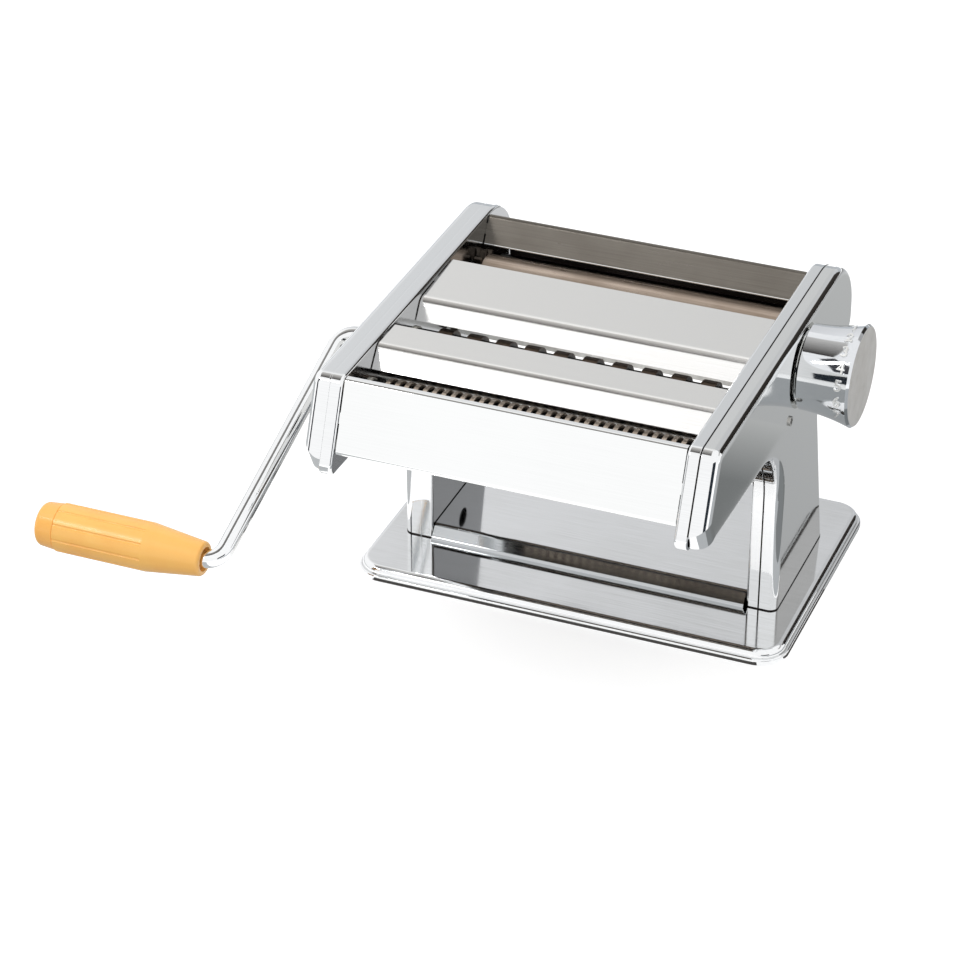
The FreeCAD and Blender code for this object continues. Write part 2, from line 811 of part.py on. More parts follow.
# Smooth rollers
def drive_roller():
    profile = [(-socket_x, 0), (-socket_x, journal_radius), (-shoulder_x, journal_radius),
               (-shoulder_x, shoulder_radius), (-roller_half, shoulder_radius),
               (-roller_half, smooth_radius), (roller_half, smooth_radius),
               (roller_half, shoulder_radius), (shoulder_x, shoulder_radius),
               (shoulder_x, journal_radius), (bush_end_x, journal_radius), (bush_end_x, 0)]
    return with_socket(turned(drive_y, drive_z, profile), drive_y, drive_z)


def adjustable_roller():
    profile = [(-shoulder_x, tube_bore), (-shoulder_x, tube_shoulder), (-roller_half, tube_shoulder),
               (-roller_half, smooth_radius), (roller_half, smooth_radius), (roller_half, tube_shoulder),
               (shoulder_x, tube_shoulder), (shoulder_x, tube_bore)]
    return turned(adjust_y, adjust_z, profile)


def smooth_gear(y, z, bore, phase):
    root = smooth_distance - smooth_gear_tip_radius - smooth_gear_root_clearance
    return gear(y, z, gear_teeth, root, smooth_gear_tip_radius, smooth_tooth_root, smooth_tooth_tip,
                phase, bore, -shoulder_x, smooth_gear_width - shoulder_x)


# From either end of the knob's travel to its middle the moving gear shifts sideways, so its teeth start
# behind by half of what that shift calls for
half_tooth = math.pi / gear_teeth
sideways_shift = eccentricity * (1 - math.sin(eccentric_start))
lateral_lead = sideways_shift / smooth_distance


def drive_roller_gear():
    return smooth_gear(drive_y, drive_z, shoulder_radius, math.pi - tilt)


def adjustable_roller_gear():
    return smooth_gear(adjust_y, adjust_z, tube_shoulder, half_tooth - tilt - lateral_lead)


def floating_bush(side):
    outer_end = shoulder_x - axial_play
    ends = sorted((side * outer_end, side * (outer_end - floating_bush_length)))
    return ring(adjust_y, adjust_z, floating_radius, floating_bore, *ends)


def knob_square(fit, x_from, x_to):
    y, z = knob_axis_y, knob_axis_z
    half = square_side / 2 + fit
    return block(y - half, y + half, z - half, z + half, x_from, x_to)


def eccentric_shaft():
    core_end = shoulder_x - axial_play
    core = rod(adjust_y, adjust_z, eccentric_radius, -core_end, core_end)
    journal = rod(knob_axis_y, knob_axis_z, eccentric_journal_radius, -bush_end_x, knob_start_x)
    hole = rod(knob_axis_y, knob_axis_z, thread_bore, washer_x - rod_thread_depth, washer_x)
    return fuse([core, journal, knob_square(0, knob_start_x, washer_x)]).cut(hole)


# Cutter rollers
def cutter(y, pitch, shifted, socket):
    left_end = socket_x if socket else gear_end_x
    half_ring = pitch / 4 - ring_side_clearance / 2
    profile = [(-left_end, 0), (-left_end, journal_radius), (-shoulder_x, journal_radius),
               (-shoulder_x, groove_radius)]
    for place in ring_places(pitch, shifted):
        left = place - half_ring
        right = place + half_ring
        profile += [(left, groove_radius), (left, cutter_radius)]
        profile += [(right, cutter_radius), (right, groove_radius)]
    profile += [(shoulder_x, groove_radius), (shoulder_x, journal_radius), (bush_end_x, journal_radius),
                (bush_end_x, 0)]
    roller = turned(y, cutter_axis_z, profile)
    return with_socket(roller, y, cutter_axis_z) if socket else roller


def cutter_gear(y, phase):
    tip = cutter_distance / 2 + cutter_gear_addendum
    root = cutter_distance - tip - cutter_gear_root_clearance
    return gear(y, cutter_axis_z, gear_teeth, root, tip, cutter_tooth_root, cutter_tooth_tip, phase,
                journal_radius, -gear_end_x, -gear_start_x)


# Knob
def knob_body():
    rim_x = knob_end_x - knob_rim_length
    waist_x = knob_start_x + knob_waist_share * knob_length
    y, z = knob_axis_y, knob_axis_z
    foot = Vec(knob_start_x, y + knob_foot_radius, z)
    waist = Vec(waist_x, y + knob_foot_radius + knob_waist_swell, z)
    rim = Vec(rim_x, y + knob_rim_radius, z)
    flare = Part.BSplineCurve()
    flare.interpolate([foot, waist, rim])
    bevel = Vec(knob_end_x, y + knob_rim_radius - knob_edge, z)
    corners = [rim, bevel, Vec(knob_end_x, y, z), Vec(knob_start_x, y, z), foot]
    edges = [flare.toShape()] + [Part.makeLine(a, b) for a, b in zip(corners, corners[1:])]
    body = Part.Face(Part.Wire(edges)).revolve(Vec(0, y, z), X_AXIS, 360)
    disc_seat = rod(y, z, knob_disc_radius, disc_x, knob_end_x)
    spring_well = rod(y, z, knob_well_radius, hub_end_x, knob_end_x)
    ring_well = rod(y, z, ring_outer_radius, knob_start_x, hub_start_x)
    key = knob_square(square_fit, hub_start_x, hub_end_x)
    pin = rod(y + detent_radius, z, detent_pin_radius, hub_start_x, hub_end_x)
    return body.cut([disc_seat, spring_well, ring_well, key, pin])


def knob_end_disc():
    return rod(knob_axis_y, knob_axis_z, knob_disc_radius, disc_x, knob_end_x)


def detent_pin():
    return rod(knob_axis_y + detent_radius, knob_axis_z, detent_pin_radius, boss_x - detent_entry, hub_end_x)


def knob_spring():
    """Spring drawn squeezed against its washer, so that it clears the hub when the knob is pulled."""
    rise = spring_squeezed_length - 2 * spring_wire - 2 * spring_end_gap
    helix = Part.makeHelix(rise / spring_turns, rise, spring_radius)
    start = helix.Vertexes[0].Point
    wire = Part.Wire(Part.makeCircle(spring_wire, start, Vec(0, 1, 0)))
    coil = Part.Wire(helix.Edges).makePipeShell([wire], True, True)
    coil.rotate(Vec(0, 0, 0), Vec(0, 1, 0), -90)
    coil.translate(Vec(washer_x - spring_wire, knob_axis_y, knob_axis_z))
    return coil


def knob_washer():
    return ring(knob_axis_y, knob_axis_z, knob_washer_radius, thread_bore, washer_x,
                washer_x + knob_washer_thickness)


def knob_screw():
    seat = Vec(washer_x + knob_washer_thickness, knob_axis_y, knob_axis_z)
    return screw(seat, X_AXIS * -1, knob_washer_thickness + rod_thread_depth - thread_end_gap)


# Crank
def crank_rod():
    stops = [Vec(crank_tip_x, wide_rear_y, cutter_axis_z), Vec(crank_elbow_x, wide_rear_y, cutter_axis_z),
             Vec(crank_elbow_x - crank_lean, grip_y, grip_z), Vec(rod_end_x, grip_y, grip_z)]
    edges = []
    start = stops[0]
    for before, corner, after in zip(stops, stops[1:], stops[2:]):
        first, middle, last = round_corner(before, corner, after, crank_bend_radius)
        edges += [Part.makeLine(start, first), Part.Arc(first, middle, last).toShape()]
        start = last
    edges.append(Part.makeLine(start, stops[-1]))
    section = Part.Wire(Part.makeCircle(crank_rod_radius, stops[0], X_AXIS))
    body = Part.Wire(edges).makePipeShell([section], True, False)
    return body.cut(crank_pin())


def crank_pin():
    middle = socket_slot_depth / 2 - socket_x
    return Part.makeCylinder(crank_pin_radius, 2 * crank_pin_half_length,
                             Vec(middle, wide_rear_y - crank_pin_half_length, cutter_axis_z), Vec(0, 1, 0))


def grip_body():
    shoulder = grip_start_x - grip_taper_length
    mouth = grip_start_x - grip_mouth_depth
    bore = crank_rod_radius + grip_bore_fit
    well = grip_radius - grip_well_wall
    profile = [(grip_start_x, grip_mouth_radius), (grip_start_x, grip_neck_radius), (shoulder, grip_radius),
               (cap_seam_x, grip_radius), (cap_seam_x, well), (well_x, well), (well_x, bore), (mouth, bore),
               (mouth, grip_mouth_radius)]
    body = turned(grip_y, grip_z, profile)
    neck = [edge for edge in body.Edges
            if abs(edge.BoundBox.YLength / 2 - grip_neck_radius) < edge_tolerance]
    body = body.makeFillet(grip_neck_round, neck)
    reach = grip_radius + grip_flute_radius - grip_flute_depth
    flutes = []
    for index in range(grip_flutes):
        angle = 2 * math.pi * index / grip_flutes
        flutes.append(rod(grip_y + reach * math.cos(angle), grip_z + reach * math.sin(angle),
                          grip_flute_radius, cap_seam_x, shoulder))
    return body.cut(flutes)


def grip_end_cap():
    wide = grip_radius - grip_cap_step
    narrow = wide - grip_cap_taper
    profile = [(grip_end_x, 0), (grip_end_x, narrow), (cap_seam_x - grip_cap_groove, wide),
               (cap_seam_x, wide - grip_cap_groove), (cap_seam_x, 0)]
    cap = turned(grip_y, grip_z, profile)
    on_end = [edge for edge in cap.Edges if edge.BoundBox.XMax < grip_end_x + edge_tolerance]
    return cap.makeFillet(grip_cap_round, [edge for edge in on_end if edge.BoundBox.YLength > narrow])


def grip_retainer():
    return ring(grip_y, grip_z, retainer_radius, crank_rod_radius, rod_end_x, rod_end_x + retainer_length)


parts = {
    "base_plate": base_plate(),
    "rubber_feet": rubber_feet(),
    "bridge_plate": bridge_plate(),
    "base_screws": base_screws(),
    "left_inner_frame": inner_frame(-1),
    "right_inner_frame": inner_frame(1),
    "left_outer_cover": left_outer_cover(),
    "right_outer_cover": right_outer_cover(),
    "cover_posts": cover_posts(),
    "cover_screws": cover_screws(),
    "tie_rod_screws": tie_rod_screws(),
    "index_ring": index_ring(),
    "drive_roller_bushes": bushes("drive_roller"),
    "adjuster_bushes": bushes("adjuster"),
    "wide_cutter_bushes": bushes("wide_rear", "wide_front"),
    "narrow_cutter_bushes": bushes("narrow_rear", "narrow_front"),
    "drive_roller": drive_roller(),
    "drive_roller_gear": drive_roller_gear(),
    "adjustable_roller": adjustable_roller(),
    "adjustable_roller_gear": adjustable_roller_gear(),
    "eccentric_shaft": eccentric_shaft(),
    "left_floating_bush": floating_bush(-1),
    "right_floating_bush": floating_bush(1),
    "knob_body": knob_body(),
    "knob_end_disc": knob_end_disc(),
    "detent_pin": detent_pin(),
    "knob_spring": knob_spring(),
    "knob_washer": knob_washer(),
    "knob_screw": knob_screw(),
    "wide_rear_cutter": cutter(wide_rear_y, wide_pitch, True, True),
    "wide_front_cutter": cutter(wide_front_y, wide_pitch, False, False),
    "wide_rear_gear": cutter_gear(wide_rear_y, math.pi),
    "wide_front_gear": cutter_gear(wide_front_y, half_tooth),
    "narrow_rear_cutter": cutter(narrow_rear_y, narrow_pitch, True, True),
    "narrow_front_cutter": cutter(narrow_front_y, narrow_pitch, False, False),
    "narrow_rear_gear": cutter_gear(narrow_rear_y, math.pi),
    "narrow_front_gear": cutter_gear(narrow_front_y, half_tooth),
    "crank_rod": crank_rod(),
    "crank_pin": crank_pin(),
    "grip_body": grip_body(),
    "grip_end_cap": grip_end_cap(),
    "grip_retainer": grip_retainer(),
}
for name, (y, z) in tie_rods.items():
    parts[name] = tie_rod(y, z)
for name, (corners, thickness, bend) in sheets.items():
    parts[name] = sheet_part(*corners, thickness, bend)
for name, points in scrapers.items():
    parts[name] = scraper(name, points)
for name, values in combs.items():
    parts[name] = comb(*values)

os.makedirs("parts", exist_ok=True)
for name, shape in parts.items():
    shape.exportStep(f"parts/{name}.step")
    print(name, len(shape.Solids), round(shape.Volume, 1), shape.isValid())
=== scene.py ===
import json
import math

import bmesh
import bpy
from mathutils import Matrix, Vector
from mathutils.bvhtree import BVHTree


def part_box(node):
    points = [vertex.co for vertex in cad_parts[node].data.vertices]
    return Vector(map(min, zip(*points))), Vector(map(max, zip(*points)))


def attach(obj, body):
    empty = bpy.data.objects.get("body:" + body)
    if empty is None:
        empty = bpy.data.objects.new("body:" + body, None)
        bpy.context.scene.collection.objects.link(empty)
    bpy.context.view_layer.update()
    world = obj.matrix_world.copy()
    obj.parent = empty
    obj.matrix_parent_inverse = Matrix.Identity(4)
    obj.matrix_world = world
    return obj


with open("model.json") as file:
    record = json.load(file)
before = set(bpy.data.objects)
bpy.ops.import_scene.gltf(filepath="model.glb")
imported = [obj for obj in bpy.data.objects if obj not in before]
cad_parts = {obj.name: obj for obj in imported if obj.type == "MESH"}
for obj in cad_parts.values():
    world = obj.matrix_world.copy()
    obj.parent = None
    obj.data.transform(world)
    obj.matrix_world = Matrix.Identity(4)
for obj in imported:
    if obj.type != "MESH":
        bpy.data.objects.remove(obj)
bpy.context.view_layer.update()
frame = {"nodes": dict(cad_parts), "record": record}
nodes = frame["nodes"]
scene = bpy.context.scene
scene.view_settings.view_transform = "Standard"
print("frame loaded:", len(nodes), "nodes")


def srgb(code):  # "#rrggbb" to linear rgba
    parts = [int(code[i:i + 2], 16) / 255 for i in (1, 3, 5)]
    return tuple(c / 12.92 if c <= 0.04045 else ((c + 0.055) / 1.055) ** 2.4 for c in parts) + (1.0,)


def addNode(tree, kind, sockets=None, **settings):  # sockets: name or index to a value or an output
    made = tree.nodes.new("ShaderNode" + kind)
    for key, value in settings.items():
        setattr(made, key, value)
    for key, value in (sockets or {}).items():
        if isinstance(value, bpy.types.NodeSocket):
            tree.links.new(value, made.inputs[key])
        else:
            made.inputs[key].default_value = value
    return made


def newMaterial(name):
    made = bpy.data.materials.new(name)
    made.use_nodes = True
    made.node_tree.nodes.clear()
    return made, made.node_tree


def close(tree, shader):
    addNode(tree, "OutputMaterial", {"Surface": shader.outputs[0]})


def perMm(size):  # noise scale that gives one feature per this many millimetres
    return 1000.0 / size


def meshFrom(shape, name):  # a mesh of this name from a bmesh, which is freed
    mesh = bpy.data.meshes.new(name)
    shape.to_mesh(mesh)
    shape.free()
    return mesh


white = srgb("#ffffff")
squarely = (0.93, 0.995)  # share of a normal along an axis where a face starts, and wholly is, facing that way
mergeGap = 1e-6  # corners of a mesh that are nearer than this are one corner
planeGap = 1e-7  # corners that are nearer than this to a cutting plane lie in it

# Chrome plate on pressed sheet: a clear mirror that wavers a little, with a dull bloom and hairlines from
# wiping. Faces that look up or sideways take their own tint, a painted shade on the plate.
# The hairlines are drawn coarser than real ones, which would be too fine to show.
chromePlate = {
    "tint": "#fafbfc", "dullTint": "#f3f4f5", "paintedTopTint": "#e4e6e7", "paintedSideTint": "#e3e3e1", "sideDull": 0.0,
    "roughness": (0.03, 0.075), "wear": (0.14, 0.4), "patchMm": 60.0, "hairMm": (30.0, 0.45),
    "waveMm": 70.0, "waveHeight": 0.0001,
}


def makeChrome(name, look):
    made, tree = newMaterial(name)
    around = addNode(tree, "TexCoord")
    place = around.outputs["Object"]
    long, fine = look["hairMm"]
    along = addNode(tree, "Mapping", {"Vector": place, "Scale": (perMm(long), perMm(fine), perMm(fine))})
    hair = addNode(tree, "TexNoise", {"Vector": along.outputs[0], "Scale": 1.0, "Detail": 2.0})
    patch = addNode(tree, "TexNoise", {"Vector": place, "Scale": perMm(look["patchMm"]), "Detail": 3.0})
    mixed = addNode(tree, "Math", {0: patch.outputs["Fac"], 1: hair.outputs["Fac"]}, operation="MULTIPLY")
    tone = addNode(tree, "MapRange", {"Value": mixed.outputs[0], "From Min": look["wear"][0],
                                      "From Max": look["wear"][1], "To Min": 0.0, "To Max": 1.0})
    bright = addNode(tree, "Mix", {0: tone.outputs[0], 6: srgb(look["tint"]), 7: srgb(look["dullTint"])},
                     data_type="RGBA")
    # painted shade: faces that look up or sideways take their own tints
    facing = addNode(tree, "SeparateXYZ", {0: around.outputs["Normal"]})
    upward = addNode(tree, "MapRange", {"Value": facing.outputs[2], "From Min": squarely[0],
                                        "From Max": squarely[1], "To Min": 0.0, "To Max": 1.0})
    paintedTopDull = look.get("paintedTopDull", look["paintedTopTint"])
    paintedTopColour = addNode(tree, "Mix", {0: tone.outputs[0], 6: srgb(look["paintedTopTint"]), 7: srgb(paintedTopDull)},
                   data_type="RGBA")
    topped = addNode(tree, "Mix", {0: upward.outputs[0], 6: bright.outputs[2], 7: paintedTopColour.outputs[2]},
                     data_type="RGBA")
    either = addNode(tree, "Math", {0: facing.outputs[0]}, operation="ABSOLUTE")
    sideways = addNode(tree, "MapRange", {"Value": either.outputs[0], "From Min": squarely[0],
                                          "From Max": squarely[1], "To Min": 0.0, "To Max": 1.0})
    colour = addNode(tree, "Mix", {0: sideways.outputs[0], 6: topped.outputs[2], 7: srgb(look["paintedSideTint"])},
                     data_type="RGBA")
    dull = addNode(tree, "MapRange", {"Value": mixed.outputs[0], "From Min": look["wear"][0],
                                      "From Max": look["wear"][1], "To Min": look["roughness"][0],
                                      "To Max": look["roughness"][1]})
    soft = addNode(tree, "Math", {0: sideways.outputs[0], 1: look["sideDull"], 2: dull.outputs[0]},
                   operation="MULTIPLY_ADD")
    wave = addNode(tree, "TexNoise", {"Vector": place, "Scale": perMm(look["waveMm"]), "Detail": 0.0})
    bump = addNode(tree, "Bump", {"Height": wave.outputs["Fac"], "Distance": look["waveHeight"],
                                  "Strength": 1.0})
    close(tree, addNode(tree, "BsdfPrincipled", {
        "Base Color": colour.outputs[2], "Metallic": 1.0, "Roughness": soft.outputs[0],
        "Normal": bump.outputs[0]}))
    return made


# Stainless sheet brushed along the rollers: satin, with streaks that pull reflections across the grain.
# The streaks are drawn half a millimetre wide, coarser than real ones, which would be too fine to show.
brushedSheet = {"tint": "#d4d2d0", "streakTint": "#bdbab7", "roughness": (0.2, 0.34), "streakMm": (46.0, 0.5),
                "cloudMm": 25.0, "toneSpan": (0.75, 1.25), "grainHeight": 0.00001}


def grooveShade(tree, look):  # 1 at the floor of the grooves round a cutter's axis, 0 at the rings; it places a painted shade
    place = addNode(tree, "TexCoord").outputs["Object"]
    axisY, axisZ = look["axis"]
    across = addNode(tree, "Mapping", {"Vector": place, "Location": (0.0, -axisY, -axisZ),
                                       "Scale": (0.0, 1.0, 1.0)})
    reach = addNode(tree, "VectorMath", {0: across.outputs[0]}, operation="LENGTH")
    low, high = look["grooveReach"]
    return addNode(tree, "MapRange", {"Value": reach.outputs["Value"], "From Min": low, "From Max": high,
                                      "To Min": 1.0, "To Max": 0.0}).outputs[0]


def insideShade(tree, look):  # 1 on the faces that look forward behind the fold of the rear panel, which take a painted shade
    around = addNode(tree, "TexCoord")
    where = addNode(tree, "SeparateXYZ", {0: around.outputs["Object"]})
    facing = addNode(tree, "SeparateXYZ", {0: around.outputs["Normal"]})
    behind = addNode(tree, "MapRange", {"Value": where.outputs[1], "From Min": look["foldY"][0],
                                        "From Max": look["foldY"][1], "To Min": 0.0, "To Max": 1.0})
    forward = addNode(tree, "MapRange", {"Value": facing.outputs[1], "From Min": look["forward"],
                                         "From Max": 0.0, "To Min": 1.0, "To Max": 0.0})
    both = addNode(tree, "Math", {0: behind.outputs[0], 1: forward.outputs[0]}, operation="MULTIPLY")
    return both.outputs[0]


def topShade(tree, look):  # 1 on faces that look up, which take a painted shade
    facing = addNode(tree, "SeparateXYZ", {0: addNode(tree, "TexCoord").outputs["Normal"]})
    return addNode(tree, "MapRange", {"Value": facing.outputs[2], "From Min": squarely[0],
                                      "From Max": squarely[1], "To Min": 0.0, "To Max": 1.0}).outputs[0]


def makeBrushed(name, look):
    made, tree = newMaterial(name)
    place = addNode(tree, "TexCoord").outputs["Object"]
    long, fine = look["streakMm"]
    along = addNode(tree, "Mapping", {"Vector": place, "Scale": (perMm(long), perMm(fine), perMm(fine))})
    streak = addNode(tree, "TexNoise", {"Vector": along.outputs[0], "Scale": 1.0, "Detail": 3.0,
                                        "Roughness": 0.6})
    cloud = addNode(tree, "TexNoise", {"Vector": place, "Scale": perMm(look["cloudMm"]), "Detail": 4.0})
    mixed = addNode(tree, "Math", {0: streak.outputs["Fac"], 1: cloud.outputs["Fac"]}, operation="ADD")
    tone = addNode(tree, "MapRange", {"Value": mixed.outputs[0], "From Min": look["toneSpan"][0],
                                      "From Max": look["toneSpan"][1], "To Min": 0.0, "To Max": 1.0})
    colour = addNode(tree, "Mix", {0: tone.outputs[0], 6: srgb(look["tint"]), 7: srgb(look["streakTint"])},
                     data_type="RGBA")
    dull = addNode(tree, "MapRange", {"Value": tone.outputs[0], "From Min": 0.0, "From Max": 1.0,
                                      "To Min": look["roughness"][0], "To Max": look["roughness"][1]})
    # painted shade: the look's mask mixes its shade tint into the colour
    if "shade" in look:
        colour = addNode(tree, "Mix", {0: look["shade"](tree, look), 6: colour.outputs[2],
                                       7: srgb(look["shadeTint"])}, data_type="RGBA")
    bump = addNode(tree, "Bump", {"Height": streak.outputs["Fac"], "Distance": look["grainHeight"],
                                  "Strength": 1.0})
    close(tree, addNode(tree, "BsdfPrincipled", {
        "Base Color": colour.outputs[2], "Metallic": 1.0, "Roughness": dull.outputs[0],
        "Normal": bump.outputs[0]}))
    return made


# Moulded ABS: an even coloured plastic with a soft gloss and a faint grain from the mould. The grain is drawn
# coarser than the mould's own, which would be too fine to show.
mouldedPlastic = {"tint": "#ffcb70", "lowTint": "#fbb45a", "roughness": (0.2, 0.28), "cloudMm": 16.0,
                  "cloudSpan": (0.3, 0.7), "grainMm": 0.7, "grainHeight": 0.00002, "ior": 1.53}


def makePlastic(name, look):
    made, tree = newMaterial(name)
    place = addNode(tree, "TexCoord").outputs["Object"]
    cloud = addNode(tree, "TexNoise", {"Vector": place, "Scale": perMm(look["cloudMm"]), "Detail": 4.0})
    grain = addNode(tree, "TexNoise", {"Vector": place, "Scale": perMm(look["grainMm"]), "Detail": 2.0})
    colour = addNode(tree, "Mix", {0: cloud.outputs["Fac"], 6: srgb(look["tint"]), 7: srgb(look["lowTint"])},
                     data_type="RGBA")
    dull = addNode(tree, "MapRange", {"Value": cloud.outputs["Fac"], "From Min": look["cloudSpan"][0],
                                      "From Max": look["cloudSpan"][1], "To Min": look["roughness"][0],
                                      "To Max": look["roughness"][1]})
    bump = addNode(tree, "Bump", {"Height": grain.outputs["Fac"], "Distance": look["grainHeight"],
                                  "Strength": 0.6})
    close(tree, addNode(tree, "BsdfPrincipled", {
        "Base Color": colour.outputs[2], "Roughness": dull.outputs[0], "IOR": look["ior"],
        "Normal": bump.outputs[0]}))
    return made


finishes = {
    # chrome plate on pressed steel: a clear mirror, a touch grey where dust and hands dull it, and a painted
    # grey shade on faces that look up or sideways
    "polishedChromePlate": (makeChrome, chromePlate),
    # the same plate inside the frames: a soft mirror with a painted grey shade on the drawn side faces
    "polishedChromeFrame": (makeChrome, dict(chromePlate, paintedSideTint="#a5a7a9", sideDull=0.1)),
    # the right cover: a mirror with an even painted pale grey shade on its rim and on its large face
    "polishedChromeCover": (makeChrome, dict(chromePlate, paintedTopTint="#e2e3e2", paintedSideTint="#e3e3e1")),
    # the front panel: the brightest plate, almost white under the soft light
    "polishedChromePanel": (makeChrome, dict(
        chromePlate, tint="#fcfdfd", dullTint="#f9fafa", paintedTopTint="#f8f9f9")),
    # the base: plate with a bloom from wiping, so that the legs' reflections blur a little; its top has a
    # painted grey shade
    "polishedChromeBase": (makeChrome, dict(
        chromePlate, paintedTopTint="#e6e7e8", paintedTopDull="#dcdddd", roughness=(0.05, 0.13), patchMm=40.0)),
    # the bridge: plate, pale on top, with a painted grey shade on its rounded lip
    "polishedChromeBridge": (makeChrome, dict(
        chromePlate, tint="#c6c9cb", dullTint="#bcbfc1", paintedTopTint="#eaebec", paintedTopDull="#e0e1e1",
        roughness=(0.06, 0.13), patchMm=45.0)),
    # the knob: plate on a zinc casting, whose slight waves bend what it mirrors
    "polishedChromeKnob": (makeChrome, dict(
        chromePlate, tint="#e9ebee", dullTint="#e0e3e6", paintedTopTint="#e9ebee", roughness=(0.04, 0.09),
        waveHeight=0.00006, waveMm=24.0)),
    # stainless covers, brushed along the rollers: a satin top with a painted grey shade, over a white front
    "brushedSteelCover": (makeBrushed, dict(
        brushedSheet, tint="#fdfcfb", streakTint="#f6f5f3", roughness=(0.13, 0.2),
        shade=topShade, shadeTint="#eae9e6")),
    # the rear panel in bare satin steel: warm dark grey, with a black painted shade inside its fold
    "satinSteelPanel": (makeBrushed, dict(
        brushedSheet, tint="#7b766f", streakTint="#6f6a63", roughness=(0.26, 0.38),
        shade=insideShade, shadeTint="#14110f", foldY=(0.041, 0.045), forward=-0.3)),
    # the knob's end disc in satin steel: a flat, cloudy grey
    "satinSteelDisc": (makeBrushed, dict(
        brushedSheet, tint="#f0ece7", streakTint="#e2ded8", roughness=(0.3, 0.42), streakMm=(8.0, 8.0))),
    # turned aluminium rollers: a brown-grey sheen, with streaks along them that are painted reflections
    "turnedRollerAlloy": (makeBrushed, dict(
        brushedSheet, tint="#c2b2a4", streakTint="#a08f80", roughness=(0.24, 0.4), streakMm=(60.0, 1.6))),
    # machined steel gears: dark, oily and dull
    "machinedGearSteel": (makeBrushed, dict(
        brushedSheet, tint="#5f574f", streakTint="#4b443e", roughness=(0.35, 0.5), streakMm=(2.0, 2.0))),
    # zinc-plated fasteners and rods: plain light grey, slightly clouded
    "zincPlatedSteel": (makeBrushed, dict(
        brushedSheet, tint="#c3c2bf", streakTint="#a9a7a3", roughness=(0.25, 0.4), streakMm=(5.0, 5.0))),
    # the shaded bottom of a screw's cross: dark and dull
    "shadowedRecessSteel": (makeBrushed, dict(
        brushedSheet, tint="#4a4640", streakTint="#37332e", roughness=(0.4, 0.5), streakMm=(1.0, 1.0))),
    # raised numbers rubbed satin: they stay bright while the knob mirrors the room
    "satinRaisedChrome": (makeBrushed, dict(
        brushedSheet, tint="#fbfbfa", streakTint="#f0f0ee", roughness=(0.36, 0.5), streakMm=(2.0, 2.0))),
    # a near-black line of painted shade deep in a joint
    "shadowedJointSteel": (makeBrushed, dict(
        brushedSheet, tint="#2b2826", streakTint="#201d1b", roughness=(0.4, 0.55), streakMm=(3.0, 3.0))),
    # moulded ABS grip: warm yellow-orange with a soft gloss along its ribs
    "mouldedGripPlastic": (makePlastic, mouldedPlastic),
    # the grip's end cap, from another mould: a shade more orange
    "mouldedCapPlastic": (makePlastic, dict(mouldedPlastic, tint="#fec368", lowTint="#fbb157")),
    # undyed nylon bushes: cream and waxy
    "naturalNylon": (makePlastic, dict(
        mouldedPlastic, tint="#e2dfd6", lowTint="#d3cfc3", roughness=(0.45, 0.6))),
    # moulded rubber feet: black and matt
    "mouldedFootRubber": (makePlastic, dict(
        mouldedPlastic, tint="#2a2928", lowTint="#201f1e", roughness=(0.7, 0.85))),
}

# Machined cutter rollers: dull brown-grey alloy on the rings, with a near-black painted shade in the grooves
# between them.
# Each roller has a finish of its own, since the grooves are found from the roller's axis.
cutterRoller = {"roughness": (0.3, 0.46), "streakMm": (3.0, 1.2), "shade": grooveShade, "shadeTint": "#0f0c0a",
                "grooveReach": (0.0091, 0.0104)}
# the wide pair's darker tint is a painted shade; the narrow pair is the lighter, lit copy of the same alloy
cutterLitAndShadedTints = {"wide": ("#5a4d44", "#43382f"), "narrow": ("#cdbfb0", "#ab9d8f")}
nodeFinish = {}
for width, (tint, streakTint) in cutterLitAndShadedTints.items():
    for side in ("rear", "front"):
        low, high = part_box(width + "_" + side + "_cutter")
        look = dict(brushedSheet, **cutterRoller)
        look.update(tint=tint, streakTint=streakTint, axis=((low.y + high.y) / 2, (low.z + high.z) / 2))
        finish = "machined" + width.title() + side.title() + "Alloy"
        finishes[finish] = (makeBrushed, look)
        nodeFinish[width + "_" + side + "_cutter"] = finish
materials = {name: make(name, look) for name, (make, look) in finishes.items()}
slotFinish = {
    "polished_steel": "polishedChromePlate", "brushed_steel": "brushedSteelCover",
    "knob_chrome": "polishedChromeKnob", "roller_aluminium": "turnedRollerAlloy",
    "cutter_aluminium": "turnedRollerAlloy", "gear_steel": "machinedGearSteel",
    "plain_steel": "zincPlatedSteel", "bush_nylon": "naturalNylon", "foot_rubber": "mouldedFootRubber",
    "grip_plastic": "mouldedGripPlastic",
}
nodeFinish.update({
    "rear_panel": "satinSteelPanel", "knob_end_disc": "satinSteelDisc", "grip_end_cap": "mouldedCapPlastic",
    "base_plate": "polishedChromeBase", "bridge_plate": "polishedChromeBridge",
    "front_panel": "polishedChromePanel", "right_outer_cover": "polishedChromeCover",
    "left_inner_frame": "polishedChromeFrame", "right_inner_frame": "polishedChromeFrame",
})
for part in frame["record"]["subparts"]:
    piece = nodes[part["node"]]
    finish = materials[nodeFinish.get(part["node"], slotFinish[part["material_slot"]])]
    piece.data.materials.clear()
    piece.data.materials.append(finish)
print("finishes given to", len(nodes), "nodes")


def addPiece(name, mesh, body, finish):
    piece = bpy.data.objects.new(name, mesh)
    scene.collection.objects.link(piece)
    piece.data.materials.clear()
    piece.data.materials.append(materials[finish])
    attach(piece, body)
    return piece


# Raised numbers round the knob, one for each of its seven settings
knobNumbers = {"height": 0.0054, "sizePerHeight": 1.4, "rise": 0.0005, "bevelShare": 0.2, "sink": 0.0002,
               "fromEnd": 0.0053, "firstDeg": 94.0, "stepDeg": 20.0, "count": 7, "rayStart": 0.05}


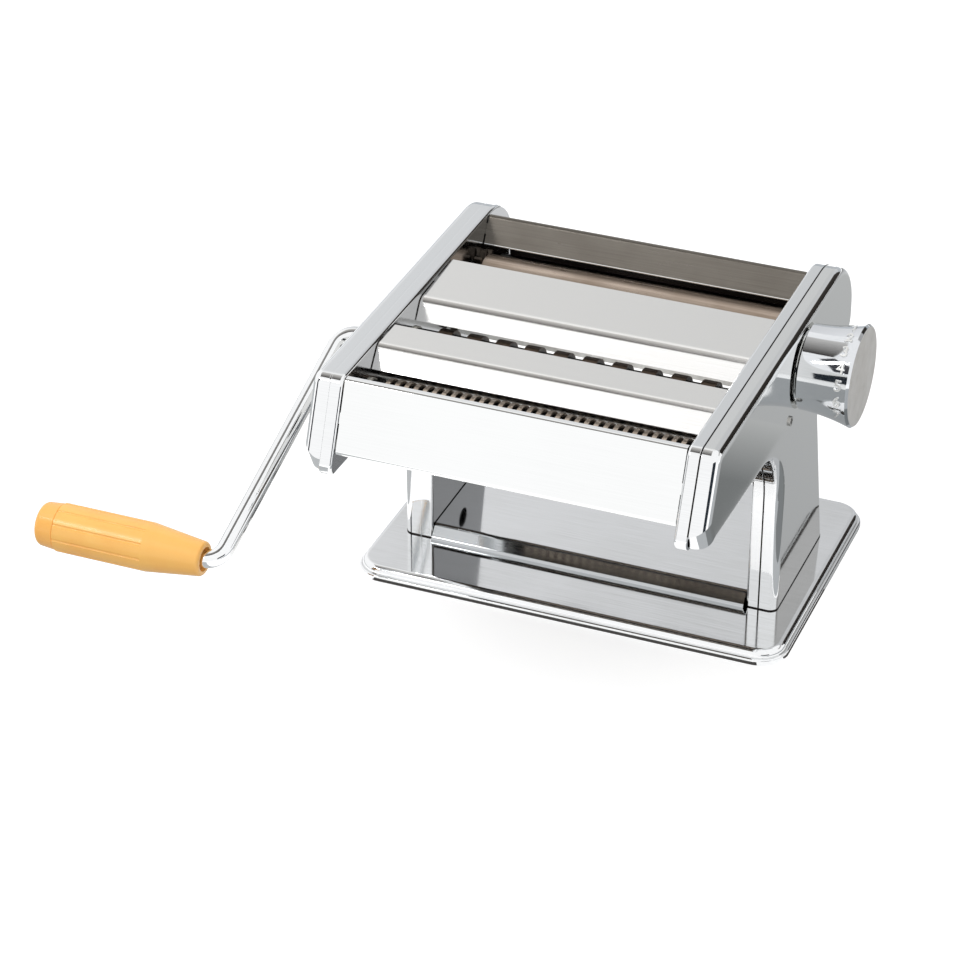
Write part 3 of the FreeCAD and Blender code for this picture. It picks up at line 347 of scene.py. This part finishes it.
def makeNumbers(look):
    low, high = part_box("knob_body")
    axisY, axisZ = (low.y + high.y) / 2, (low.z + high.z) / 2
    middleX = high.x - look["fromEnd"]
    knobSkin = BVHTree.FromObject(nodes["knob_body"], bpy.context.evaluated_depsgraph_get())
    whole = bmesh.new()
    for index in range(look["count"]):
        words = bpy.data.curves.new("number", "FONT")
        words.body = str(index + 1)
        words.size = look["height"] * look["sizePerHeight"]
        words.align_x = "CENTER"
        words.align_y = "CENTER"
        words.extrude = look["rise"] / 2
        words.bevel_depth = look["rise"] * look["bevelShare"]
        carrier = bpy.data.objects.new("number", words)
        scene.collection.objects.link(carrier)
        flat = bpy.data.meshes.new_from_object(carrier.evaluated_get(bpy.context.evaluated_depsgraph_get()))
        bpy.data.objects.remove(carrier)
        bpy.data.curves.remove(words)
        turn = math.radians(look["firstDeg"] - look["stepDeg"] * index)
        for vertex in flat.vertices:
            across, up, out = vertex.co
            angle = turn + up / (high.y - axisY)
            outward = Vector((0.0, -math.cos(angle), math.sin(angle)))
            start = Vector((middleX + across, axisY, axisZ)) + outward * look["rayStart"]
            hit = knobSkin.ray_cast(start, -outward)[0]
            vertex.co = hit + outward * (out + look["rise"] / 2 - (look["sink"] if out < 0 else 0.0))
        whole.from_mesh(flat)
        bpy.data.meshes.remove(flat)
    return addPiece("knob_numbers", meshFrom(whole, "knob_numbers"), "knob", "satinRaisedChrome")


makeNumbers(knobNumbers)
print("knob numbers raised")

# Cross recess in the head of each cover screw, drawn as a thin dark cross of painted shade on it
screwRecess = {"span": 0.0029, "slot": 0.0008, "depth": 0.00005}


def makeRecess(look):
    low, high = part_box("cover_screws")
    middle = (low + high) / 2
    long, short = look["span"] / 2, look["slot"] / 2
    corners = [(long, short), (short, short), (short, long),
               (-short, long), (-short, short), (-long, short),
               (-long, -short), (-short, -short), (-short, -long),
               (short, -long), (short, -short), (long, -short)]
    shape = bmesh.new()
    for faceX, way in ((high.x, 1.0), (low.x, -1.0)):
        ring = [shape.verts.new((faceX, middle.y + a * way, middle.z + b)) for a, b in corners]
        cap = shape.faces.new(ring)
        lifted = bmesh.ops.extrude_face_region(shape, geom=[cap])
        raised = [item for item in lifted["geom"] if isinstance(item, bmesh.types.BMVert)]
        bmesh.ops.translate(shape, vec=(look["depth"] * way, 0.0, 0.0), verts=raised)
    bmesh.ops.recalc_face_normals(shape, faces=shape.faces)
    return addPiece("cover_screw_recess", meshFrom(shape, "cover_screw_recess"), "frame", "shadowedRecessSteel")


makeRecess(screwRecess)
print("screw recesses marked")

# Rolled lower edge of the rear panel, a fine bright line above the roller
panelEdge = {"radius": 0.0004, "segments": 14, "endRound": 0.4, "cornerReach": 0.0001}


def makePanelEdge(look):
    sheet = nodes["rear_panel"].data.vertices
    front = min(vertex.co.y for vertex in sheet)
    corner = [vertex.co for vertex in sheet if vertex.co.y < front + look["cornerReach"]]
    half = max(abs(co.x) for co in corner)
    cornerZ = sum(co.z for co in corner) / len(corner)
    middle = Vector((0.0, front + look["radius"], cornerZ + look["radius"] / 2))
    shape = bmesh.new()
    bmesh.ops.create_cone(shape, cap_ends=True, segments=look["segments"], radius1=look["radius"],
                          radius2=look["radius"], depth=half * 2)
    ends = [edge for edge in shape.edges if abs(edge.verts[0].co.z - edge.verts[1].co.z) < mergeGap]
    bmesh.ops.bevel(shape, geom=ends, offset=look["radius"] * look["endRound"], segments=2, profile=0.5,
                    affect="EDGES", material=-1)
    bmesh.ops.transform(shape, matrix=Matrix.Translation(middle) @ Matrix.Rotation(math.pi / 2, 4, "Y"),
                        verts=shape.verts)
    bmesh.ops.recalc_face_normals(shape, faces=shape.faces)
    return addPiece("rear_panel_edge", meshFrom(shape, "rear_panel_edge"), "frame", "polishedChromePanel")


makePanelEdge(panelEdge)
print("panel edge rolled")


def cutOutline(node, place, normal):  # loose edges where a plane cuts a node's mesh
    shape = bmesh.new()
    shape.from_mesh(nodes[node].data)
    bmesh.ops.remove_doubles(shape, verts=shape.verts, dist=mergeGap)
    bmesh.ops.bisect_plane(shape, geom=shape.verts[:] + shape.edges[:] + shape.faces[:], dist=planeGap,
                           plane_co=place, plane_no=normal, clear_inner=True, clear_outer=True)
    return shape


def drawBand(shape, along):  # loose edges drawn out into a band of faces
    drawn = bmesh.ops.extrude_edge_only(shape, edges=shape.edges[:])["geom"]
    moved = [item for item in drawn if isinstance(item, bmesh.types.BMVert)]
    bmesh.ops.translate(shape, vec=along, verts=moved)
    bmesh.ops.recalc_face_normals(shape, faces=shape.faces)


# Line of the joint between each cover and its frame, lying in the groove that their rounded rims leave;
# the right one is dark painted shade, the left one is pressed tight and almost closes
seamLine = {"half": 0.00035, "thick": 0.0001, "footReach": 0.0001,
            "finish": {"right": "shadowedJointSteel", "left": "polishedChromePlate"}}


def makeSeamLine(side, look):
    way = 1.0 if side == "right" else -1.0
    seamX = max(abs(corner.x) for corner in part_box(side + "_inner_frame")) * way
    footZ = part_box("base_plate")[1].z
    shape = cutOutline(side + "_outer_cover", (seamX + look["half"] * way, 0.0, 0.0), (1.0, 0.0, 0.0))
    start = min(shape.verts, key=lambda vertex: vertex.co.y)  # the tip of the nose is on the outer loop
    loop, waiting = set(), [start]
    while waiting:
        vertex = waiting.pop()
        if vertex not in loop:
            loop.add(vertex)
            waiting += [edge.other_vert(vertex) for edge in vertex.link_edges]
    bmesh.ops.delete(shape, geom=[vertex for vertex in shape.verts if vertex not in loop], context="VERTS")
    lowest = footZ + look["footReach"]
    foot = [edge for edge in shape.edges if max(vertex.co.z for vertex in edge.verts) < lowest]
    bmesh.ops.delete(shape, geom=foot, context="EDGES")
    drawBand(shape, (-2 * look["half"] * way, 0.0, 0.0))
    bmesh.ops.solidify(shape, geom=shape.faces[:], thickness=look["thick"])
    bmesh.ops.recalc_face_normals(shape, faces=shape.faces)
    return addPiece(side + "_seam_line", meshFrom(shape, side + "_seam_line"), "frame", look["finish"][side])


for side in seamLine["finish"]:
    makeSeamLine(side, seamLine)
print("seam lines laid")

# Dark line of painted shade round the foot of each leg, where it stands on the base
footLine = {"high": 0.0006, "drop": 0.9, "thick": 0.0001,  # drop: share of the height that the band covers
            "legs": ("left_inner_frame", "left_outer_cover", "right_inner_frame", "right_outer_cover")}


def makeFootLines(look):
    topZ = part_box("base_plate")[1].z + look["high"]
    whole = bmesh.new()
    for leg in look["legs"]:
        shape = cutOutline(leg, (0.0, 0.0, topZ), (0.0, 0.0, 1.0))
        drawBand(shape, (0.0, 0.0, -look["drop"] * look["high"]))
        shape.normal_update()
        for vertex in shape.verts:
            vertex.co += vertex.normal * look["thick"]
        bmesh.ops.solidify(shape, geom=shape.faces[:], thickness=look["thick"])
        bmesh.ops.recalc_face_normals(shape, faces=shape.faces)
        ring = meshFrom(shape, "ring")
        whole.from_mesh(ring)
        bpy.data.meshes.remove(ring)
    return addPiece("foot_lines", meshFrom(whole, "foot_lines"), "frame", "shadowedJointSteel")


makeFootLines(footLine)
print("foot lines laid")

# Camera at the photograph's angle
camera = {"place": (0.427904, -1.234068, 0.840870), "pitch": 0.552316, "yaw": 0.382269, "lens": 121.735,
          "sensor": 36.0, "farClip": 50.0}
lens = bpy.data.cameras.new("camera")
lens.lens = camera["lens"]
lens.sensor_width = camera["sensor"]
lens.clip_end = camera["farClip"]
viewer = bpy.data.objects.new("camera", lens)
viewer.location = camera["place"]
viewer.rotation_euler = (math.pi / 2 - camera["pitch"], 0.0, camera["yaw"])
scene.collection.objects.link(viewer)
scene.camera = viewer
print("camera placed")

# Studio: white to the camera and in reflections, an even soft level for everything else
studio = {"level": 0.94, "floorTint": "#c4c4c4", "floorGlow": 0.64, "floorSize": 9.0, "keyWatts": 14.0,
          "keySize": 1.6, "keyPlace": (-1.1, -0.5, 2.0), "keyAim": (0.0, 0.0, 0.1)}


def seenDirectly(tree):  # 1 for camera, glossy and transmission rays
    rays = addNode(tree, "LightPath")
    first = addNode(tree, "Math", {0: rays.outputs["Is Camera Ray"], 1: rays.outputs["Is Glossy Ray"]},
                    operation="MAXIMUM")
    both = addNode(tree, "Math", {0: first.outputs[0], 1: rays.outputs["Is Transmission Ray"]},
                   operation="MAXIMUM")
    return both.outputs[0]


def makeWorld(look):
    world = bpy.data.worlds.new("studio")
    world.use_nodes = True
    tree = world.node_tree
    tree.nodes.clear()
    level = addNode(tree, "MapRange", {"Value": seenDirectly(tree), "From Min": 0.0, "From Max": 1.0,
                                       "To Min": look["level"], "To Max": 1.0})
    sky = addNode(tree, "Background", {"Color": white, "Strength": level.outputs[0]})
    addNode(tree, "OutputWorld", {"Surface": sky.outputs[0]})
    scene.world = world


def makeFloor(look):
    made, tree = newMaterial("paintedFloor")
    matt = addNode(tree, "BsdfDiffuse", {"Color": srgb(look["floorTint"])})
    shown = addNode(tree, "Math", {0: seenDirectly(tree), 1: look["floorGlow"]}, operation="MULTIPLY")
    glow = addNode(tree, "Emission", {"Color": white, "Strength": shown.outputs[0]})
    close(tree, addNode(tree, "AddShader", {0: matt.outputs[0], 1: glow.outputs[0]}))
    shape = bmesh.new()
    bmesh.ops.create_grid(shape, x_segments=1, y_segments=1, size=look["floorSize"] / 2)
    mesh = meshFrom(shape, "floor")
    mesh.materials.append(made)
    floor = bpy.data.objects.new("floor", mesh)
    scene.collection.objects.link(floor)


def makeLamp(look):
    lamp = bpy.data.lights.new("key", "AREA")
    lamp.energy = look["keyWatts"]
    lamp.size = look["keySize"]
    holder = bpy.data.objects.new("key", lamp)
    holder.location = look["keyPlace"]
    aim = Vector(look["keyAim"]) - Vector(look["keyPlace"])
    holder.rotation_euler = aim.to_track_quat("-Z", "Y").to_euler()
    holder.visible_glossy = False  # the cards alone shape the reflections
    scene.collection.objects.link(holder)


# Cards round the set that only reflections see. The tone runs from left to right on a standing card and from
# near to far on a lying one, where deep is its depth; on a standing card deep is its height.
cards = {
    "rearCard": {"at": (-0.15, 2.2, 1.6), "wide": 3.5, "deep": 2.0, "tones": ("#fafafb", "#a6a9ac")},
    "rearLowCard": {"at": (-0.15, 2.25, 0.32), "wide": 3.5, "deep": 0.56, "tones": ("#ced2d6", "#a9adb1")},
    "ceilingFlag": {"at": (-1.03, -0.075, 2.4), "wide": 1.15, "deep": 1.95,
                    "tones": ("#2f2b28", "#cfcdca"), "lying": True},
    "rightFlag": {"at": (1.12, 1.81, 0.62), "wide": 0.95, "deep": 1.14, "tones": ("#3f3c39", "#1b1816")},
    "rightHighCard": {"at": (1.35, 1.65, 1.46), "wide": 2.7, "deep": 0.54, "tones": ("#d2d2d3", "#8f8d8b")},
    "sideFlag": {"at": (1.34, -1.48, 0.38), "wide": 1.1, "deep": 0.48, "tones": ("#2b3138", "#2b3138")},
    "leftFlag": {"at": (-1.46, -1.36, 1.25), "wide": 0.6, "deep": 2.2, "tones": ("#3a3c42", "#4a4a4c")},
    "rightFloorCard": {"at": (0.48, 0.225, 0.001), "wide": 0.84, "deep": 0.45,
                       "tones": ("#b0b2b4", "#c6c8c9"), "lying": True},
    "rightFarCard": {"at": (1.16, 1.05, 0.001), "wide": 2.2, "deep": 1.2,
                     "tones": ("#c0c2c3", "#4c4a48"), "lying": True},
    "noseFarCard": {"at": (0.18, 0.105, 0.002), "wide": 0.08, "deep": 0.06,
                    "tones": ("#7c7f80", "#bbbdbe"), "lying": True},
    "noseNearCard": {"at": (0.18, -0.0125, 0.002), "wide": 0.08, "deep": 0.175,
                     "tones": ("#7c7f80", "#7c7f80"), "lying": True},
    "glintCard": {"at": (-0.88, -0.99, 1.25), "wide": 0.7, "deep": 0.14,
                  "tones": ("#ffffff", "#ffffff"), "strength": 14.0},
    "knobFloorCard": {"at": (0.456, -0.3, 0.0015), "wide": 0.688, "deep": 0.6,
                      "tones": ("#b3b6b8", "#b3b6b8"), "lying": True},
    "baseFrontFlag": {"at": (0.0, -0.07235, 0.0004), "wide": 0.19, "deep": 0.0026,
                      "tones": ("#4a4846", "#4a4846"), "lying": True},
    "baseRightFlag": {"at": (0.1069, 0.0, 0.0004), "wide": 0.0026, "deep": 0.122,
                      "tones": ("#4a4846", "#4a4846"), "lying": True},
    "leftFloorCard": {"at": (-0.66, -0.1, 0.001), "wide": 1.07, "deep": 1.1,
                      "tones": ("#b4b7b8", "#c6c8c9"), "lying": True},
}


def makeCard(name, look):
    made, tree = newMaterial(name + "Paint")
    lying = look.get("lying", False)
    side = addNode(tree, "SeparateXYZ", {0: addNode(tree, "TexCoord").outputs["UV"]})
    tone = addNode(tree, "Mix", {0: side.outputs[1 if lying else 0], 6: srgb(look["tones"][0]),
                                 7: srgb(look["tones"][1])}, data_type="RGBA")
    close(tree, addNode(tree, "Emission", {"Color": tone.outputs[2], "Strength": look.get("strength", 1.0)}))
    shape = bmesh.new()
    shape.loops.layers.uv.new("UVMap")
    bmesh.ops.create_grid(shape, x_segments=1, y_segments=1, size=0.5, calc_uvs=True)
    middle = Vector(look["at"])
    turn = Matrix.Identity(4)
    if not lying:  # upright, its back to the set so that the tone runs from left to right as the set sees it
        turn = Vector((middle.x, middle.y, 0)).to_track_quat("-Z", "Y").to_matrix().to_4x4()
    spread = Matrix.Diagonal((look["wide"], look["deep"], 1, 1))
    bmesh.ops.transform(shape, matrix=Matrix.Translation(middle) @ turn @ spread, verts=shape.verts)
    mesh = meshFrom(shape, name)
    mesh.materials.append(made)
    card = bpy.data.objects.new(name, mesh)
    scene.collection.objects.link(card)
    card.visible_camera = False
    card.visible_diffuse = False
    card.visible_shadow = False
    card.visible_transmission = False


makeWorld(studio)
makeFloor(studio)
makeLamp(studio)
for name, look in cards.items():
    makeCard(name, look)
print("studio set")
